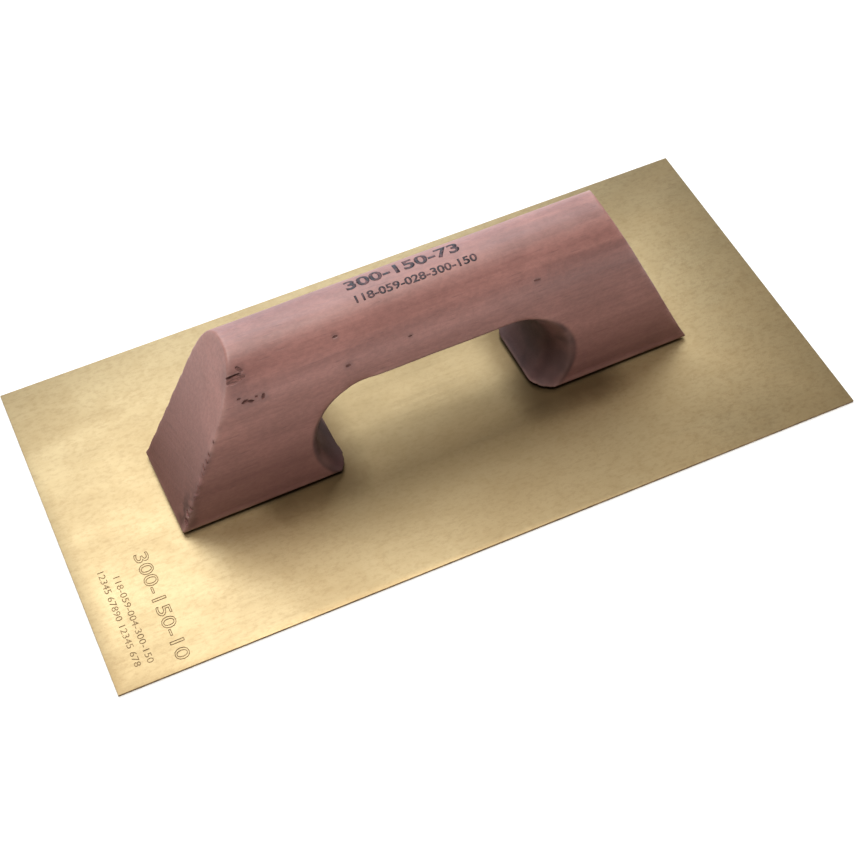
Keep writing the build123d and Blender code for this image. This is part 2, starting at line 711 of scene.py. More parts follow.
@dataclass(frozen=True)
class StainedWood(Finish):
    """Reddish brown stained wood, sanded and worn a little at its edges, with painted shade low down and
    inside the finger opening.
    """

    title = "stained_wood"
    light: Colour = (0.400, 0.180, 0.152, 1)
    dark: Colour = (0.245, 0.100, 0.086, 1)
    pore: Colour = (0.070, 0.026, 0.024, 1)
    bare: Colour = (0.520, 0.300, 0.262, 1)
    # dark tone for real stain, grime and saw marks, also used for the painted shade low on the wood
    stain: Colour = (0.098, 0.038, 0.036, 1)
    # painted shade inside the finger opening
    hollow: Colour = (0.058, 0.021, 0.021, 1)
    pith: Vector = Vector((0.0, 30.0, -55.0)) * MM
    low_corner: Vector = Vector((-103.5, -17.5, 12.0)) * MM
    ring_width: float = 5.5 * MM
    opening_heel: float = 25.8 * MM
    opening_toe: float = 28.5 * MM
    opening_level: float = 19.8 * MM
    toe_share: float = 0.84
    saw_angle: float = math.radians(14)

    def draw(self, graph: Graph, shader: bpy.types.Node, place: Socket, effects: Effects) -> None:
        """Ring figure, stain, grime, wear, painted shade low down and inside the finger opening, and the
        relief of fibres, pores and tool marks.
        """
        fibres = effects.fibres.place(graph, place, Length=0.030, Width=0.0006).outputs["Lines"]
        pores = effects.fibres.place(graph, place, Length=0.0045, Width=0.00042)
        patches = effects.mottle.place(graph, place, Patch=0.024).outputs["Patches"]
        ends = self.end_grain(graph)
        figure = graph.maths("MULTIPLY_ADD", self.rings(graph, place), 0.72, graph.times(fibres, 0.28))
        flatter = graph.maths("SUBTRACT", 0.53, figure)
        figure = graph.maths("MULTIPLY_ADD", flatter, graph.times(ends, 0.75), figure)
        colour = graph.blend(graph.span(figure, 0.20, 0.80), self.dark, self.light)
        colour = graph.shade(colour, graph.span(patches, 0.30, 0.72, 0.90, 1.06))
        fuzz = graph.grain(place, (430, 700, 700), detail=3.0, roughness=0.7)
        colour = graph.shade(colour, graph.span(fuzz, 0.32, 0.68, 0.90, 1.10))
        fleck = graph.times(pores.outputs["Flecks"], graph.maths("SUBTRACT", 1.0, ends))
        grime = graph.node("Attribute", attribute_name="grime").outputs["Fac"]
        wear = graph.node("Attribute", attribute_name="edge_wear").outputs["Fac"]
        saw = self.saw_marks(graph, place, ends)
        for share, tint in (
            (graph.times(fleck, 0.28), self.pore),
            # painted shade low down and a painted shadow line at the feet, with real dark streaks near the
            # toe
            (self.soaked_and_shaded(graph, place, ends), self.stain),
            # painted shade inside the finger opening
            (self.inside(graph, place), self.hollow),
            (self.bruise(graph, place), self.pore),
            (graph.times(grime, graph.span(patches, 0.3, 0.6, 0.5, 0.85)), self.stain),
            (graph.times(wear, graph.span(patches, 0.38, 0.62, 0.0, 0.5)), self.bare),
            (graph.span(saw, 0.50, 0.75, 0.0, 0.28), self.stain),
        ):
            colour = graph.blend(share, colour, tint)
        graph.feed(shader.inputs["Base Color"], colour)
        graph.feed(shader.inputs["Roughness"], graph.span(fibres, 0.25, 0.75, 0.44, 0.55))
        shader.inputs["Specular IOR Level"].default_value = 0.75
        relief = None
        for height, strength, distance in (
            (fibres, 0.20, 0.00008), (fuzz, 0.40, 0.00016), (fleck, 0.30, -0.00012),
            (self.chatter(graph, place), 0.9, 0.00025), (saw, 0.5, 0.00030),
        ):
            relief = graph.bump(height, strength, distance, relief)
        graph.feed(shader.inputs["Normal"], relief)

    def rings(self, graph: Graph, place: Socket) -> Socket:
        """Brightness of the growth rings round a pith that lies outside the block.

        Args:
            graph: the material's graph.
            place: object coordinates.

        Returns:
            The brightness, from 0 to 1.
        """
        x, across, up = graph.parts(graph.stretch(place, (1, 1, 1), -self.pith))
        wander = graph.grain(place, (6, 30, 30))
        radius = graph.maths("MULTIPLY_ADD", wander, 1.6 * self.ring_width, graph.reach(across, up))
        track = graph.node("CombineXYZ")
        graph.feed(track.inputs[0], graph.maths("DIVIDE", radius, self.ring_width))
        graph.feed(track.inputs[1], graph.times(x, 4.0))
        return graph.noise(track.outputs[0], 1.0, detail=3.0, roughness=0.65)

    def end_grain(self, graph: Graph) -> Socket:
        """Mask of the two sawn ends, where the surface faces along X.

        Args:
            graph: the material's graph.

        Returns:
            1 on the ends and 0 elsewhere.
        """
        facing = graph.parts(graph.node("NewGeometry").outputs["Normal"])[0]
        return graph.span(graph.maths("ABSOLUTE", facing), 0.78, 0.88)

    def soaked_and_shaded(self, graph: Graph, place: Socket, ends: Socket) -> Socket:
        """Mask of the darker wood: painted shade towards the feet and towards the bottom of the sawn ends, a
        painted shadow line along the bottom edge of the feet, and dark streaks near the toe.

        Args:
            graph: the material's graph.
            place: object coordinates.
            ends: where the surface is end grain.

        Returns:
            How dark the wood is, from 0 to 1.
        """
        x, _, level = graph.parts(place)
        # painted shade: darker towards the feet
        low = graph.span(level, 0.003, 0.042, 0.52, 0.0)
        # painted shadow: a dark line along the bottom edge of the feet
        edge = graph.span(level, 0.0026, 0.0038, 0.85, 0.0)
        # painted shade: the sawn ends darker towards the bottom
        end_shade = graph.times(graph.span(level, 0.000, 0.060, 0.62, 0.0), ends)
        heart = graph.span(graph.grain(place, (7, 120, 120)), 0.52, 0.68, 0.0, 0.30)
        heart = graph.times(heart, graph.span(x, 0.000, 0.060))
        sides = graph.maths("MAXIMUM", graph.maths("MAXIMUM", low, edge), heart)
        return graph.maths("MAXIMUM", sides, end_shade)

    def inside(self, graph: Graph, place: Socket) -> Socket:
        """Mask of painted shade on the surface inside the finger opening, from its distance to the opening's
        axis.

        Args:
            graph: the material's graph.
            place: object coordinates.

        Returns:
            How dark the wood is there, from 0 to 1.
        """
        x, _, level = graph.parts(place)
        heel = graph.maths("MINIMUM", graph.maths("ADD", x, self.opening_heel), 0.0)
        toe = graph.times(graph.beyond(x, self.opening_toe), self.toe_share)
        up = graph.maths("SUBTRACT", level, self.opening_level)
        radius = graph.reach(graph.maths("ADD", heel, toe), up)
        smudge = graph.span(graph.grain(place, (90, 90, 90)), 0.36, 0.64, 0.72, 1.0)
        return graph.times(graph.span(radius, 0.0246, 0.0264, 1.0, 0.0), smudge)

    def bruise(self, graph: Graph, place: Socket) -> Socket:
        """Mask of the bruised low corner of the heel.

        Args:
            graph: the material's graph.
            place: object coordinates.

        Returns:
            How dark the wood is there, from 0 to 1.
        """
        squash = Vector((1, 1, 0.5))
        away = graph.node("VectorMath", operation="LENGTH")
        graph.feed(away.inputs[0], graph.stretch(place, squash, -self.low_corner * squash))
        near = graph.span(away.outputs["Value"], 0.001, 0.008, 0.85, 0.0)
        return graph.times(near, graph.span(graph.grain(place, (260, 260, 200), detail=3.0), 0.40, 0.52))

    def chatter(self, graph: Graph, place: Socket) -> Socket:
        """Short marks across the grain that the cutter left where the rounded top meets the flanks.

        Args:
            graph: the material's graph.
            place: object coordinates.

        Returns:
            The relief, from 0 to 1.
        """
        level = graph.parts(place)[2]
        band = graph.times(graph.span(level, 0.050, 0.056), graph.span(level, 0.067, 0.062))
        return graph.times(graph.grain(place, (950, 120, 120)), band)

    def saw_marks(self, graph: Graph, place: Socket, ends: Socket) -> Socket:
        """Slanting lines that the saw left on the lower part of the heel's end.

        Args:
            graph: the material's graph.
            place: object coordinates.
            ends: where the surface is end grain.

        Returns:
            The relief, from 0 to 1.
        """
        turned = graph.stretch(place, (1, 1, 1), turn=(self.saw_angle, 0, 0))
        lines = graph.grain(turned, (60, 26, 620), detail=3.0, roughness=0.6)
        x, _, level = graph.parts(place)
        lower = graph.times(lines, graph.span(level, 0.052, 0.034))
        return graph.times(lower, graph.times(ends, graph.span(x, -0.060, -0.070)))


@dataclass(frozen=True)
class TornWood(Finish):
    """Rough dark wood inside a nick."""

    title = "torn_wood"
    light: Colour = (0.270, 0.120, 0.102, 1)
    dark: Colour = (0.095, 0.038, 0.035, 1)

    def draw(self, graph: Graph, shader: bpy.types.Node, place: Socket, effects: Effects) -> None:
        """Short coarse fibres."""
        fibres = effects.fibres.place(graph, place, Length=0.0025, Width=0.00035).outputs["Lines"]
        colour = graph.blend(graph.span(fibres, 0.35, 0.65), self.dark, self.light)
        graph.feed(shader.inputs["Base Color"], colour)
        graph.feed(shader.inputs["Normal"], graph.bump(fibres, 0.8, 0.00020))
        graph.feed(shader.inputs["Roughness"], graph.span(fibres, 0.3, 0.7, 0.65, 0.85))


@dataclass(frozen=True)
class RolledBronze(Finish):
    """Thin rolled bronze sheet with faint rolling lines, soft tarnish, and painted shade and shadow by the
    handle and its feet.
    """

    title = "rolled_bronze"
    clean: Colour = (0.450, 0.340, 0.188, 1)
    tarnish: Colour = (0.365, 0.258, 0.129, 1)
    speck: Colour = (0.25, 0.162, 0.078, 1)
    # dark tone for painted shade in front of the handle, put as dulling from handling
    dulled_and_shaded: Colour = (0.200, 0.140, 0.070, 1)
    # dark tone for the painted shadow round the feet
    feet_shadow_tone: Colour = (0.125, 0.082, 0.040, 1)
    opening_half: float = 22.0 * MM
    foot_middle: float = 54.0 * MM
    foot_half: float = 11.0 * MM
    foot_side: float = 21.0 * MM

    def draw(self, graph: Graph, shader: bpy.types.Node, place: Socket, effects: Effects) -> None:
        """Tarnish in broad and fine patches, rolling lines, grit, and painted shade in front of the handle
        and painted shadow round its feet.
        """
        rolling = effects.fibres.place(graph, place, Length=0.045, Width=0.0007).outputs["Lines"]
        stretched = graph.stretch(place, (0.55, 1, 1))
        broad = effects.mottle.place(graph, stretched, Patch=0.030).outputs["Patches"]
        mottle = effects.mottle.place(graph, place, Patch=0.0065)
        fine = mottle.outputs["Patches"]
        grit = graph.grain(place, (420, 700, 700), detail=3.0, roughness=0.7)
        colour = self.clean
        for share, tint in (
            (graph.times(graph.span(broad, 0.32, 0.70), 0.38), self.tarnish),
            (graph.span(fine, 0.40, 0.72, 0.0, 0.34), self.tarnish),
            (graph.span(rolling, 0.55, 0.80, 0.0, 0.12), self.speck),
            (graph.times(mottle.outputs["Specks"], 0.16), self.speck),
            (graph.span(grit, 0.42, 0.72, 0.0, 0.30), self.speck),
            # painted shade in front of the handle
            (self.handled_and_shaded(graph, place), self.dulled_and_shaded),
            # painted shadow round the inner ends of the feet
            (self.painted_feet_shadow(graph, place, fine), self.feet_shadow_tone),
        ):
            colour = graph.blend(share, colour, tint)
        graph.feed(shader.inputs["Base Color"], colour)
        shader.inputs["Metallic"].default_value = 1.0
        rough = graph.span(broad, 0.3, 0.7, 0.40, 0.45)
        graph.feed(shader.inputs["Roughness"], graph.maths("MULTIPLY_ADD", rolling, 0.10, rough))
        relief = None
        for height, strength, distance in (
            (broad, 0.06, 0.0008), (rolling, 0.15, 0.00005), (fine, 0.22, 0.00014), (grit, 0.30, 0.00007),
        ):
            relief = graph.bump(height, strength, distance, relief)
        graph.feed(shader.inputs["Normal"], relief)

    def handled_and_shaded(self, graph: Graph, place: Socket) -> Socket:
        """Mask of painted shade in front of the handle, given as a duller sheet round the finger opening, on
        the top face only.

        Args:
            graph: the material's graph.
            place: object coordinates.

        Returns:
            How dark the painted shade is there, from 0 to 1.
        """
        x, y, level = graph.parts(place)
        reach = graph.reach(graph.beyond(graph.maths("ABSOLUTE", x), self.opening_half), y)
        return graph.times(graph.span(reach, 0.038, 0.100, 0.62, 0.0), self.on_top(graph, level))

    def painted_feet_shadow(self, graph: Graph, place: Socket, patches: Socket) -> Socket:
        """Mask of painted shadow on the top face, round the inner ends of the two feet.

        Args:
            graph: the material's graph.
            place: object coordinates.
            patches: soft patches that break the mask up.

        Returns:
            How dark the sheet is there, from 0 to 1.
        """
        x, y, level = graph.parts(place)
        from_middle = graph.maths("SUBTRACT", graph.maths("ABSOLUTE", x), self.foot_middle)
        along = graph.beyond(graph.maths("ABSOLUTE", from_middle), self.foot_half)
        away = graph.reach(along, graph.beyond(graph.maths("ABSOLUTE", y), self.foot_side))
        away = graph.maths("SUBTRACT", away, graph.times(patches, 0.004))
        return graph.times(graph.span(away, -0.001, 0.015, 0.92, 0.0), self.on_top(graph, level))

    def on_top(self, graph: Graph, level: Socket) -> Socket:
        """1 in the upper half of the sheet's thickness and 0 in the lower half."""
        return graph.span(level, 0.0004, 0.0006)


@dataclass(frozen=True)
class DullMetal(Finish):
    """Bare metal with a plain dull finish: cut edges, etched marks, plates and screws."""

    title: str
    light: Colour
    dark: Colour
    roughness: tuple[float, float] = (0.45, 0.62)
    line: float = 0.0005

    def draw(self, graph: Graph, shader: bpy.types.Node, place: Socket, effects: Effects) -> None:
        """Two tones in patches, and fine lines."""
        lines = effects.fibres.place(graph, place, Length=0.006, Width=self.line).outputs["Lines"]
        patches = effects.mottle.place(graph, place, Patch=0.004).outputs["Patches"]
        colour = graph.blend(graph.span(patches, 0.3, 0.7), self.light, self.dark)
        graph.feed(shader.inputs["Base Color"], colour)
        shader.inputs["Metallic"].default_value = 1.0
        graph.feed(shader.inputs["Roughness"], graph.span(lines, 0.3, 0.7, *self.roughness))
        graph.feed(shader.inputs["Normal"], graph.bump(lines, 0.4, 0.00005))


@dataclass(frozen=True)
class WornInk(Finish):
    """Dark stamping ink, thin and patchy on the wood."""

    title = "worn_ink"
    dark: Colour = (0.020, 0.012, 0.020, 1)
    faded: Colour = (0.130, 0.062, 0.068, 1)

    def draw(self, graph: Graph, shader: bpy.types.Node, place: Socket, effects: Effects) -> None:
        """Dense ink that thins out in small patches."""
        patches = effects.mottle.place(graph, place, Patch=0.0022).outputs["Patches"]
        colour = graph.blend(graph.span(patches, 0.42, 0.66), self.dark, self.faded)
        graph.feed(shader.inputs["Base Color"], colour)
        graph.feed(shader.inputs["Roughness"], graph.span(patches, 0.3, 0.7, 0.5, 0.7))


# ---------------------------------------------------------------------------
# Sub-assemblies
# ---------------------------------------------------------------------------


@dataclass(frozen=True)
class Numerals:
    """One line of plain numerals, drawn flat and fitted to a length."""

    text: str
    middle: Vector
    height: float
    length: float
    turn: float = 0.0
    outline: float = 0.0
    weight: float = 0.0

    def build(self, level: float, thickness: float) -> Piece:
        """Makes the line a mesh.

        Args:
            level: height of its middle plane.
            thickness: half its depth; with none it stays a flat sheet.

        Returns:
            The numerals, their place in their mesh.
        """
        clear_selection()
        bpy.ops.object.text_add(location=(0, 0, 0))
        curve = bpy.context.object.data
        curve.body = self.text
        curve.size = self.height / 0.72
        curve.resolution_u = 3
        curve.align_x = "CENTER"
        curve.offset = self.weight
        if self.outline > 0:
            curve.fill_mode = "NONE"
            curve.bevel_depth = self.outline
            curve.bevel_resolution = 1
        else:
            curve.extrude = thickness
        bpy.ops.object.convert(target="MESH")
        numerals = bpy.context.object
        numerals.scale.x = self.length / numerals.dimensions.x
        freeze_place(numerals)
        numerals.rotation_euler.z = math.radians(self.turn)
        numerals.location = self.middle + Vector((0, 0, level))
        freeze_place(numerals)
        return numerals


@dataclass(frozen=True)
class Nick:
    """One small hollow in the wood: its place, its long direction, the way it faces and its sizes."""

    place: Vector
    along: Vector
    facing: Vector
    length: float
    width: float
    depth: float

    def turn(self) -> Vector:
        """Euler angles that lay a cutter's X along the hollow and its Z the way it faces."""
        across = self.facing.cross(self.along).normalized()
        along = across.cross(self.facing).normalized()
        return Matrix((along, across, self.facing)).transposed().to_euler()


@dataclass
class BridgeHandle:
    """One-piece wooden bridge handle on two feet, with a flared finger opening."""

    foot_half_width: float = 21.2 * MM
    shoulder_level: float = 49.0 * MM
    shoulder_half_width: float = 17.0 * MM
    front_fullness: float = 0.50
    back_fullness: float = 0.60
    heel_tip: float = -108.1 * MM
    heel_lean: float = 0.476
    toe_tip: float = 108.3 * MM
    toe_lean: float = 0.4235
    askew: float = math.radians(0.6)
    offset: float = 1.1 * MM
    opening_level: float = 19.8 * MM
    opening_radius: float = 21.3 * MM
    opening_heel: float = -25.8 * MM
    opening_toe: float = 28.0 * MM
    flare: float = 5.2 * MM
    flare_depth: float = 12.0 * MM
    flare_reach: float = 13.5 * MM
    rim_shift: float = 7.4 * MM
    hole_radius: float = 2.15 * MM
    grid: float = 0.7 * MM

    def __post_init__(self) -> None:
        """Reads the foot level and the height from the frame."""
        low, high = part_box("handle")
        self.foot_level = low.z
        self.height = high.z
        narrowing = self.foot_half_width - self.shoulder_half_width
        self.slope = narrowing / (self.shoulder_level - self.foot_level)

    def build(self) -> Piece:
        """Models the handle.

        Returns:
            The finished piece.
        """
        wood = self.shape_bar()
        self.saw_ends(wood)
        cut_away(wood, self.opening_cutter())
        for hole in self.screw_holes():
            cut_away(wood, hole)
        self.soften(wood)
        self.age(wood)
        self.set_askew(wood)
        store_edge_wear(wood, 0.06 * MM, 1)
        for face in wood.data.polygons:
            face.use_smooth = True
        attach(wood, BODY)
        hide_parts("handle")
        LOG.info("handle: %d faces", len(wood.data.polygons))
        return wood

    def shape_bar(self) -> Piece:
        """A bar with tapered flanks and a rounded crown, longer than the handle.

        Returns:
            The bar.
        """
        crown = self.shoulder_half_width / (1 + self.slope)
        top = self.shoulder_level + crown
        half_length = self.toe_tip + 5 * MM
        half_width = self.foot_half_width
        low = Vector((-half_length, -half_width, self.foot_level))
        bar = add_block("bridge_handle", low, Vector((half_length, half_width, top)))
        with editing(bar):
            pick(bar, Pick.FACES, lambda f: f.normal.z > 0.9)
            narrow = crown / half_width
            bpy.ops.transform.resize(value=(1, narrow, 1), center_override=(0, 0, top))
            for flank, fullness in ((Flank.FRONT, self.front_fullness), (Flank.BACK, self.back_fullness)):
                pick(bar, Pick.EDGES, lambda e: self.is_top_edge(e, flank, crown, top))
                bpy.ops.mesh.bevel(offset=crown * 0.998, segments=28, profile=fullness, affect="EDGES")
            pick(bar, Pick.VERTS, lambda v: v.co.z > self.shoulder_level + 0.2 * MM)
            rise = (self.height - 0.05 * MM - self.shoulder_level) / crown
            bpy.ops.transform.resize(value=(1, 1, rise), center_override=(0, 0, self.shoulder_level))
        return bar

    def is_top_edge(self, edge: bmesh.types.BMEdge, flank: Flank, half_width: float, top: float) -> bool:
        """Whether an edge is the long top edge of one flank.

        Args:
            edge: the edge.
            flank: the side it should be on.
            half_width: half the width of the top.
            top: level of the top.

        Returns:
            True for the wanted edge.
        """
        middle = edge_middle(edge)
        on_side = abs(middle.y - flank.value * half_width) < 0.01 * MM
        return on_side and abs(middle.z - top) < 0.01 * MM and abs(middle.x) < MM

    def saw_ends(self, bar: Piece) -> None:
        """Saws both leaning ends.

        Args:
            bar: the shaped bar.
        """
        ends = ((End.HEEL, self.heel_tip, self.heel_lean), (End.TOE, self.toe_tip, self.toe_lean))
        with editing(bar):
            for end, tip, lean in ends:
                bpy.ops.mesh.select_all(action="SELECT")
                outward = Vector((end.value, 0, lean)).normalized()
                bpy.ops.mesh.bisect(plane_co=(tip, 0, 0), plane_no=outward, use_fill=True, clear_outer=True)

    def opening_cutter(self) -> Piece:
        """The finger opening as a solid: a round-ended slot that flares at both flanks.

        Returns:
            The cutter.
        """
        centre = Vector((self.opening_heel, 0, self.opening_level))
        start = self.flank_at(self.opening_level) - self.flare_depth
        across = Vector((math.pi / 2, 0, 0))
        cutter = add_rod("opening_cutter", centre, self.opening_radius, 2 * start, across, 128)
        with editing(cutter):
            pick(cutter, Pick.VERTS, lambda v: v.co.x > self.opening_heel + 0.01 * MM)
            bpy.ops.transform.translate(value=(self.opening_toe - self.opening_heel, 0, 0))
            for flank in Flank:
                self.flare_mouth(cutter, flank, start)
        return cutter

    def flare_mouth(self, cutter: Piece, flank: Flank, start: float) -> None:
        """Draws one mouth of the opening outwards, wider at each step.

        Args:
            cutter: the slot being edited.
            flank: the side of the mouth.
            start: distance of the flare's inner end from the middle plane.
        """
        steps = 12
        lean = math.atan(self.slope)
        outward = Vector((0, flank.value * math.cos(lean), math.sin(lean)))
        length = self.opening_toe - self.opening_heel + 2 * self.opening_radius
        height = 2 * self.opening_radius
        middle = (self.opening_heel + self.opening_toe) / 2
        centre = Vector((middle, flank.value * start, self.opening_level))
        pick(cutter, Pick.FACES, lambda f: (f.calc_center_median().y * flank.value) > start - 0.01 * MM)
        bpy.ops.transform.rotate(
            value=-flank.value * lean, orient_axis="X", orient_type="GLOBAL", center_override=centre
        )
        for step in range(1, steps + 1):
            turn, last = step / steps * math.pi / 2, (step - 1) / steps * math.pi / 2
            share, before = 1 - math.cos(turn), 1 - math.cos(last)
            depth = self.flare_reach * (math.sin(turn) - math.sin(last))
            wider, wide = length + 2 * share * self.flare, length + 2 * before * self.flare
            taller, tall = height + 2 * share * self.flare, height + 2 * before * self.flare
            shift = (share - before) * self.rim_shift / 2
            bpy.ops.mesh.extrude_region_move(TRANSFORM_OT_translate={"value": outward * depth})
            centre += outward * depth
            stretch = (wider + 2 * shift) / wide
            bpy.ops.transform.resize(value=(stretch, 1, taller / tall), center_override=centre)
            bpy.ops.transform.translate(value=(shift, 0, 0))
            centre.x += shift
            length += 2 * shift

    def screw_holes(self) -> Iterable[Piece]:
        """Pilot holes for the four screws, before the handle is set askew.

        Yields:
            One cutter for each hole.
        """
        for end, low, high in screw_boxes():
            middle = (low + high) / 2
            x = end.value * math.hypot(middle.x, middle.y - self.offset)
            centre = Vector((x, 0, (self.foot_level + high.z) / 2))
            depth = high.z - self.foot_level + 0.4 * MM
            yield add_rod("pilot_hole", centre, self.hole_radius, depth, Vector((0, 0, 0)), 24)

    def soften(self, wood: Piece) -> None:
        """Gives the wood an even fine mesh with slightly rounded edges.

        Args:
            wood: the sawn and cut handle.
        """
        use_modifier(wood, "REMESH", mode="VOXEL", voxel_size=self.grid, adaptivity=0.0)
        use_modifier(wood, "SMOOTH", factor=0.5, iterations=3)

    def age(self, wood: Piece) -> None:
        """Hand sanding, torn grain at the heel's front edge, and dents.

        Args:
            wood: the evenly meshed handle.
        """
        places = vertex_places(wood)
        above = np.clip((places[:, 2] - self.foot_level) / (3 * MM), 0, 1)
        skin = weight_group(wood, "skin", above)
        use_modifier(
            wood, "DISPLACE", texture=cloud_texture("sanding", 34 * MM), texture_coords="LOCAL",
            strength=0.5 * MM, mid_level=1.0, vertex_group=skin,
        )
        torn = weight_group(wood, "torn", self.torn_weights(places))
        use_modifier(
            wood, "DISPLACE", texture=cloud_texture("tearing", 2.6 * MM, hard=True), texture_coords="LOCAL",
            strength=-1.6 * MM, mid_level=0.25, vertex_group=torn,
        )
        nicks = self.nicks(wood)
        self.chip(wood, nicks)
        self.round_rims(wood)
        self.store_grime(wood, nicks)

    def torn_weights(self, places: np.ndarray) -> np.ndarray:
        """Weights along the lower part of the heel's front edge.

        Args:
            places: the vertices' places.

        Returns:
            One weight for each vertex.
        """
        level = places[:, 2]
        edge_x = self.heel_tip + self.heel_lean * level
        edge_y = self.slope * (level - self.foot_level) - self.foot_half_width
        distance = np.hypot(places[:, 0] - edge_x, places[:, 1] - edge_y)
        near = np.clip(1 - distance / (2.2 * MM), 0, 1)
        low = np.clip((38 * MM - level) / (8 * MM), 0, 1) * np.clip((level - 4 * MM) / (2 * MM), 0, 1)
        return near * low

    def nicks(self, wood: Piece) -> list[Nick]:
        """The gouge by the heel, the pits on the front, and the chips along the heel's front edge.

        Args:
            wood: the handle, whose surface they lie on.

        Returns:
            The nicks.
        """
        front = (
            (-74.4, 65.2, 9.2, 3.0, 0.70, 3), (-74.8, 66.4, 7.8, 1.0, 1.30, 4),
            (-71.4, 67.7, 3.2, 1.6, 0.60, -60), (-72.7, 56.2, 2.9, 1.4, 0.90, 12),
            (-70.6, 55.5, 2.6, 1.2, 0.80, -15), (-65.9, 55.6, 2.8, 1.4, 0.70, 68),
            (-74.7, 58.2, 1.6, 0.8, 0.45, 0), (-68.3, 56.6, 1.2, 0.7, 0.40, 0),
            (-35.0, 66.8, 2.2, 0.9, 0.35, 8), (-33.0, 55.0, 2.2, 1.3, 0.40, 0),
            (-8.0, 57.5, 1.6, 0.7, 0.25, 0), (44.0, 60.5, 2.6, 0.7, 0.25, -6),
        )
        found = []
        for x, z, length, width, depth, turn in front:
            hit = wood.closest_point_on_mesh(Vector((x * MM, -self.flank_at(z * MM), z * MM)))
            along = Vector((math.cos(math.radians(turn)), 0, math.sin(math.radians(turn))))
            found.append(Nick(hit[1], along, hit[2], length * MM, width * MM, depth * MM))
        return found + self.edge_chips(wood)

    def edge_chips(self, wood: Piece) -> list[Nick]:
        """Torn places along the lower half of the heel's front edge, running onto the sawn end.

        Args:
            wood: the handle.

        Returns:
            The chips.
        """
        chance = random.Random(29)
        sawn = Vector((-1, 0, self.heel_lean)).normalized()
        chips = (
            (7.5, 0.8, 5.0, 2.2, 0.8), (10.6, 1.7, 4.2, 1.6, 0.6), (13.2, 0.4, 3.0, 1.0, 0.5),
            (18.6, 0.5, 2.4, 0.8, 0.4), (23.0, 0.3, 3.4, 1.0, 0.5), (29.0, 0.8, 3.4, 0.7, 0.4),
            (31.6, 0.9, 4.4, 0.9, 0.5), (34.6, 0.6, 4.8, 0.8, 0.5), (37.4, 0.3, 3.0, 0.7, 0.4),
            (43.0, 0.2, 2.0, 0.6, 0.3),
        )
        found = []
        for level, inward, length, width, depth in chips:
            level, inward = level * MM, inward * MM
            edge = Vector((self.heel_tip + self.heel_lean * level, inward - self.flank_at(level), level))
            spot = wood.closest_point_on_mesh(edge)[1]
            facing = (sawn + Vector((0, -chance.uniform(0.2, 0.8), 0))).normalized()
            along = Vector((0.2, chance.uniform(0.6, 1.0), chance.uniform(0.5, 1.0)))
            found.append(Nick(spot, along, facing, length * MM, width * MM, depth * MM))
        return found

    def chip(self, wood: Piece, nicks: list[Nick]) -> None:
        """Cuts the nicks out of the wood; their faces go in the second material slot.

        Args:
            wood: the handle.
            nicks: the hollows.
        """
        add_slots(wood, 2)
        for turn in range(3):
            cut_away(wood, self.nick_cutters(nicks[turn::3]))

    def nick_cutters(self, nicks: list[Nick]) -> Piece:
        """One rough lens for each nick, all in one object.

        Args:
            nicks: hollows that don't touch one another.

        Returns:
            The cutter, its faces in the second material slot.
        """
        cutters = []
        for index, nick in enumerate(nicks):
            clear_selection()
            bpy.ops.mesh.primitive_ico_sphere_add(
                subdivisions=2, radius=0.5, location=nick.place, rotation=nick.turn(),
                scale=(nick.length, nick.width, 2 * nick.depth),
            )
            cutter = bpy.context.object
            freeze_place(cutter)
            with editing(cutter):
                bpy.ops.mesh.select_all(action="SELECT")
                bpy.ops.transform.vertex_random(offset=0.12 * nick.width, seed=index)
            cutters.append(cutter)
        clear_selection()
        for cutter in cutters:
            cutter.select_set(True)
        bpy.context.view_layer.objects.active = cutters[0]
        bpy.ops.object.join()
        add_slots(cutters[0], 2)
        for face in cutters[0].data.polygons:
            face.material_index = 1
        return cutters[0]

    def round_rims(self, wood: Piece) -> None:
        """Rounds the opening's rims: well on the heel side, lightly on the toe side.

        Args:
            wood: the handle.
        """
        places = vertex_places(wood)
        spread = self.opening_radius + 0.55 * self.flare
        toe_middle = self.opening_toe + self.rim_shift / 4
        for name, middle, side, width, turns in (
            ("heel_rim", self.opening_heel, -1, 8.0 * MM, 60), ("toe_rim", toe_middle, 1, 4.0 * MM, 10),
        ):
            radius = np.hypot(places[:, 0] - middle, places[:, 2] - self.opening_level)
            near = np.clip(1.4 - np.abs(radius - spread) / width, 0, 1)
            outer = np.clip((np.abs(places[:, 1]) - 11 * MM) / (3 * MM), 0, 1)
            here = np.clip((places[:, 0] - middle) * side / (6 * MM) + 0.5, 0, 1)
            level = np.clip((places[:, 2] - self.foot_level - 0.5 * MM) / (2 * MM), 0, 1)
            group = weight_group(wood, name, near * outer * here * level)
            use_modifier(wood, "SMOOTH", factor=0.5, iterations=turns, vertex_group=group)

    def store_grime(self, wood: Piece, nicks: list[Nick]) -> None:
        """Writes how dirty each vertex is as the attribute grime: dark round the nicks.

        Args:
            wood: the handle.
            nicks: the hollows.
        """
        places = vertex_places(wood)
        dirt = np.zeros(len(places))
        for nick in nicks:
            away = np.linalg.norm(places - np.array(nick.place), axis=1) / (0.40 * nick.length + nick.width)
            dirt = np.maximum(dirt, 0.8 * np.clip(1.15 - away, 0, 1))
        attribute = wood.data.attributes.new("grime", "FLOAT", "POINT")
        attribute.data.foreach_set("value", dirt.astype(np.float32))

    def flank_at(self, level: float) -> float:
        """Half width of the handle at a level."""
        if level < self.shoulder_level:
            return self.foot_half_width - self.slope * (level - self.foot_level)
        rise = (level - self.shoulder_level) / (self.height - self.shoulder_level)
        return self.shoulder_half_width * math.sqrt(max(0.0, 1 - rise * rise))

    def set_askew(self, wood: Piece) -> None:
        """Turns and shifts the handle to where it stands on the blade.

        Args:
            wood: the handle, drawn about its own middle.
        """
        take_up(wood)
        wood.rotation_euler.z = self.askew
        wood.location.y = self.offset
        freeze_place(wood)


